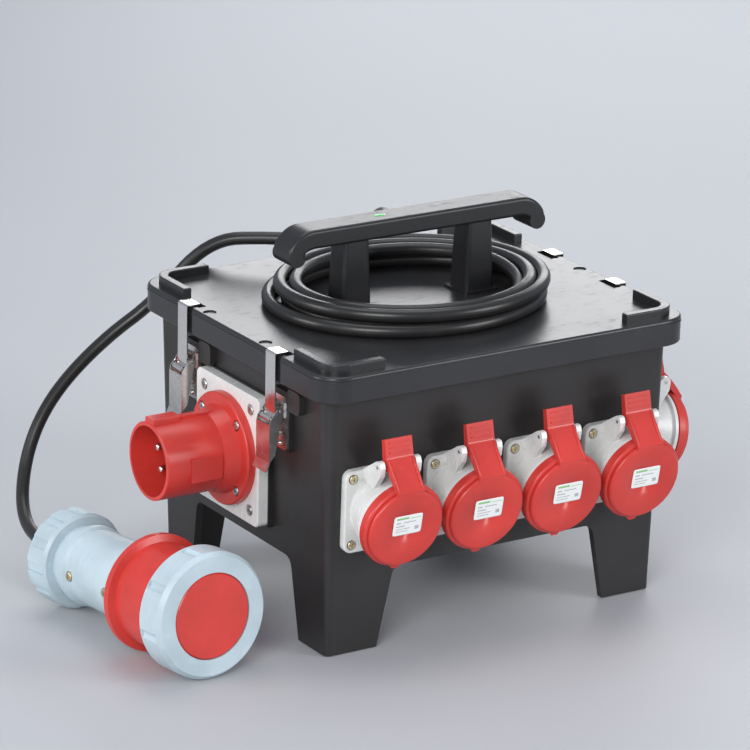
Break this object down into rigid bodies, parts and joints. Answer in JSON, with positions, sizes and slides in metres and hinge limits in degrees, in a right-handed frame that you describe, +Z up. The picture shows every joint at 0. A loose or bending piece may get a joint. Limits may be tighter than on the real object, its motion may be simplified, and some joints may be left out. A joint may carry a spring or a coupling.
{
  "type": "portable power distribution box",
  "caption": "Portable power distribution box: latched tub on legs, pin inlet, lidded panel sockets, carrying handle and a cable wound on the lid with a connector.",
  "frame": {"origin": "on the ground under the middle of the box's outline, measured without the loose cable and its connector", "axes": "+X along the long side, away from the inlet end; -Y towards the front with the row of sockets; +Z up"},
  "size_m": [0.5683, 0.4459, 0.3419],
  "materials": {
    "tub_plastic": "satin moulded black",
    "lid_plastic": "smooth satin black",
    "handle_plastic": "fine grained black",
    "seal_rubber": "soft matt",
    "plain_steel": "zinc plated",
    "latch_steel": "bright nickel plated",
    "latch_chrome": "polished",
    "white_plastic": "smooth off-white",
    "red_plastic": "smooth red",
    "insert_plastic": "light grey",
    "nickel_contact": "nickel plated",
    "yellow_zinc": "yellow chromated zinc",
    "grey_plastic": "cool light grey",
    "gland_plastic": "black nylon",
    "terminal_plastic": "grey nylon",
    "cable_rubber": "matt rubber sheath"
  },
  "bodies": {
    "box": {"base_housing": "tub_plastic", "lid": "lid_plastic", "stacking_ribs": "lid_plastic", "lid_gasket": "seal_rubber", "handle": "handle_plastic", "handle_screws": "plain_steel", "mounting_rail": "plain_steel", "terminal_blocks": "terminal_plastic", "latch_pivot_pins": "plain_steel", "inlet_plate": "white_plastic", "inlet_plate_screws": "plain_steel", "inlet_housing": "red_plastic", "inlet_screws": "plain_steel", "inlet_insert": "red_plastic", "inlet_pins": "nickel_contact", "socket_screws": "yellow_zinc", "socket_hinge_pins": "plain_steel", "cable_gland": "gland_plastic", "cable_tail": "cable_rubber", "cable_coil": "cable_rubber", "cable_lead": "cable_rubber", "connector_clamp": "grey_plastic", "connector_body": "grey_plastic", "connector_shell": "red_plastic", "connector_cap": "red_plastic", "connector_screws": "yellow_zinc", "latch_base_1": "latch_steel", "latch_base_2": "latch_steel", "latch_base_3": "latch_steel", "latch_base_4": "latch_steel", "socket_housing_1": "white_plastic", "socket_insert_1": "insert_plastic", "socket_housing_2": "white_plastic", "socket_insert_2": "insert_plastic", "socket_housing_3": "white_plastic", "socket_insert_3": "insert_plastic", "socket_housing_4": "white_plastic", "socket_insert_4": "insert_plastic", "socket_housing_5": "white_plastic", "socket_insert_5": "insert_plastic", "socket_housing_6": "white_plastic", "socket_insert_6": "insert_plastic", "socket_housing_7": "white_plastic", "socket_insert_7": "insert_plastic"},
    "connector_ring": {"connector_ring": "grey_plastic"},
    "latch_lever_1": {"latch_lever_1": "latch_steel"},
    "latch_strap_1": {"latch_strap_1": "latch_chrome"},
    "latch_lever_2": {"latch_lever_2": "latch_steel"},
    "latch_strap_2": {"latch_strap_2": "latch_chrome"},
    "latch_lever_3": {"latch_lever_3": "latch_steel"},
    "latch_strap_3": {"latch_strap_3": "latch_chrome"},
    "latch_lever_4": {"latch_lever_4": "latch_steel"},
    "latch_strap_4": {"latch_strap_4": "latch_chrome"},
    "socket_lid_1": {"socket_lid_1": "red_plastic"},
    "socket_lid_2": {"socket_lid_2": "red_plastic"},
    "socket_lid_3": {"socket_lid_3": "red_plastic"},
    "socket_lid_4": {"socket_lid_4": "red_plastic"},
    "socket_lid_5": {"socket_lid_5": "red_plastic"},
    "socket_lid_6": {"socket_lid_6": "red_plastic"},
    "socket_lid_7": {"socket_lid_7": "white_plastic"}
  },
  "joints": [
    {"name": "socket_lid_1_hinge", "type": "hinge", "parent": "box", "child": "socket_lid_1", "pos_m": [-0.10198, -0.17342, 0.17917], "axis": [-1, 0, 0], "range_deg": [0, 95], "stiffness_Nm_per_rad": 0.02},
    {"name": "socket_lid_2_hinge", "type": "hinge", "parent": "box", "child": "socket_lid_2", "pos_m": [-0.01998, -0.17342, 0.17917], "axis": [-1, 0, 0], "range_deg": [0, 95], "stiffness_Nm_per_rad": 0.02},
    {"name": "socket_lid_3_hinge", "type": "hinge", "parent": "box", "child": "socket_lid_3", "pos_m": [0.06202, -0.17342, 0.17917], "axis": [-1, 0, 0], "range_deg": [0, 95], "stiffness_Nm_per_rad": 0.02},
    {"name": "socket_lid_4_hinge", "type": "hinge", "parent": "box", "child": "socket_lid_4", "pos_m": [0.14402, -0.17342, 0.17917], "axis": [-1, 0, 0], "range_deg": [0, 95], "stiffness_Nm_per_rad": 0.02},
    {"name": "socket_lid_5_hinge", "type": "hinge", "parent": "box", "child": "socket_lid_5", "pos_m": [0.22295, -0.086, 0.17917], "axis": [0, -1, 0], "range_deg": [0, 95], "stiffness_Nm_per_rad": 0.02},
    {"name": "socket_lid_6_hinge", "type": "hinge", "parent": "box", "child": "socket_lid_6", "pos_m": [0.22295, 0.086, 0.17917], "axis": [0, -1, 0], "range_deg": [0, 95], "stiffness_Nm_per_rad": 0.02},
    {"name": "socket_lid_7_hinge", "type": "hinge", "parent": "box", "child": "socket_lid_7", "pos_m": [-0.08648, 0.17342, 0.17917], "axis": [1, 0, 0], "range_deg": [0, 95], "stiffness_Nm_per_rad": 0.02},
    {"name": "latch_1_lever", "type": "hinge", "parent": "box", "child": "latch_lever_1", "pos_m": [-0.16648, -0.076, 0.21], "axis": [0, 1, 0], "range_deg": [0, 95]},
    {"name": "latch_1_strap", "type": "hinge", "parent": "latch_lever_1", "child": "latch_strap_1", "pos_m": [-0.17348, -0.076, 0.203], "axis": [0, 1, 0], "range_deg": [-95, 0]},
    {"name": "latch_2_lever", "type": "hinge", "parent": "box", "child": "latch_lever_2", "pos_m": [-0.16648, 0.076, 0.21], "axis": [0, 1, 0], "range_deg": [0, 95]},
    {"name": "latch_2_strap", "type": "hinge", "parent": "latch_lever_2", "child": "latch_strap_2", "pos_m": [-0.17348, 0.076, 0.203], "axis": [0, 1, 0], "range_deg": [-95, 0]},
    {"name": "latch_3_lever", "type": "hinge", "parent": "box", "child": "latch_lever_3", "pos_m": [0.20552, -0.05, 0.21], "axis": [0, -1, 0], "range_deg": [0, 95]},
    {"name": "latch_3_strap", "type": "hinge", "parent": "latch_lever_3", "child": "latch_strap_3", "pos_m": [0.21252, -0.05, 0.203], "axis": [0, -1, 0], "range_deg": [-95, 0]},
    {"name": "latch_4_lever", "type": "hinge", "parent": "box", "child": "latch_lever_4", "pos_m": [0.20552, 0.05, 0.21], "axis": [0, -1, 0], "range_deg": [0, 95]},
    {"name": "latch_4_strap", "type": "hinge", "parent": "latch_lever_4", "child": "latch_strap_4", "pos_m": [0.21252, 0.05, 0.203], "axis": [0, -1, 0], "range_deg": [-95, 0]},
    {"name": "connector_ring_turn", "type": "hinge", "parent": "box", "child": "connector_ring", "pos_m": [-0.25848, -0.133, 0.0565], "axis": [0.0963, -0.9935, 0.0613], "range_deg": [0, 30]}
  ],
  "couplings": [
    {"joint": "latch_1_strap", "follows": "latch_1_lever", "ratio": -1},
    {"joint": "latch_2_strap", "follows": "latch_2_lever", "ratio": -1},
    {"joint": "latch_3_strap", "follows": "latch_3_lever", "ratio": -1},
    {"joint": "latch_4_strap", "follows": "latch_4_lever", "ratio": -1}
  ]
}
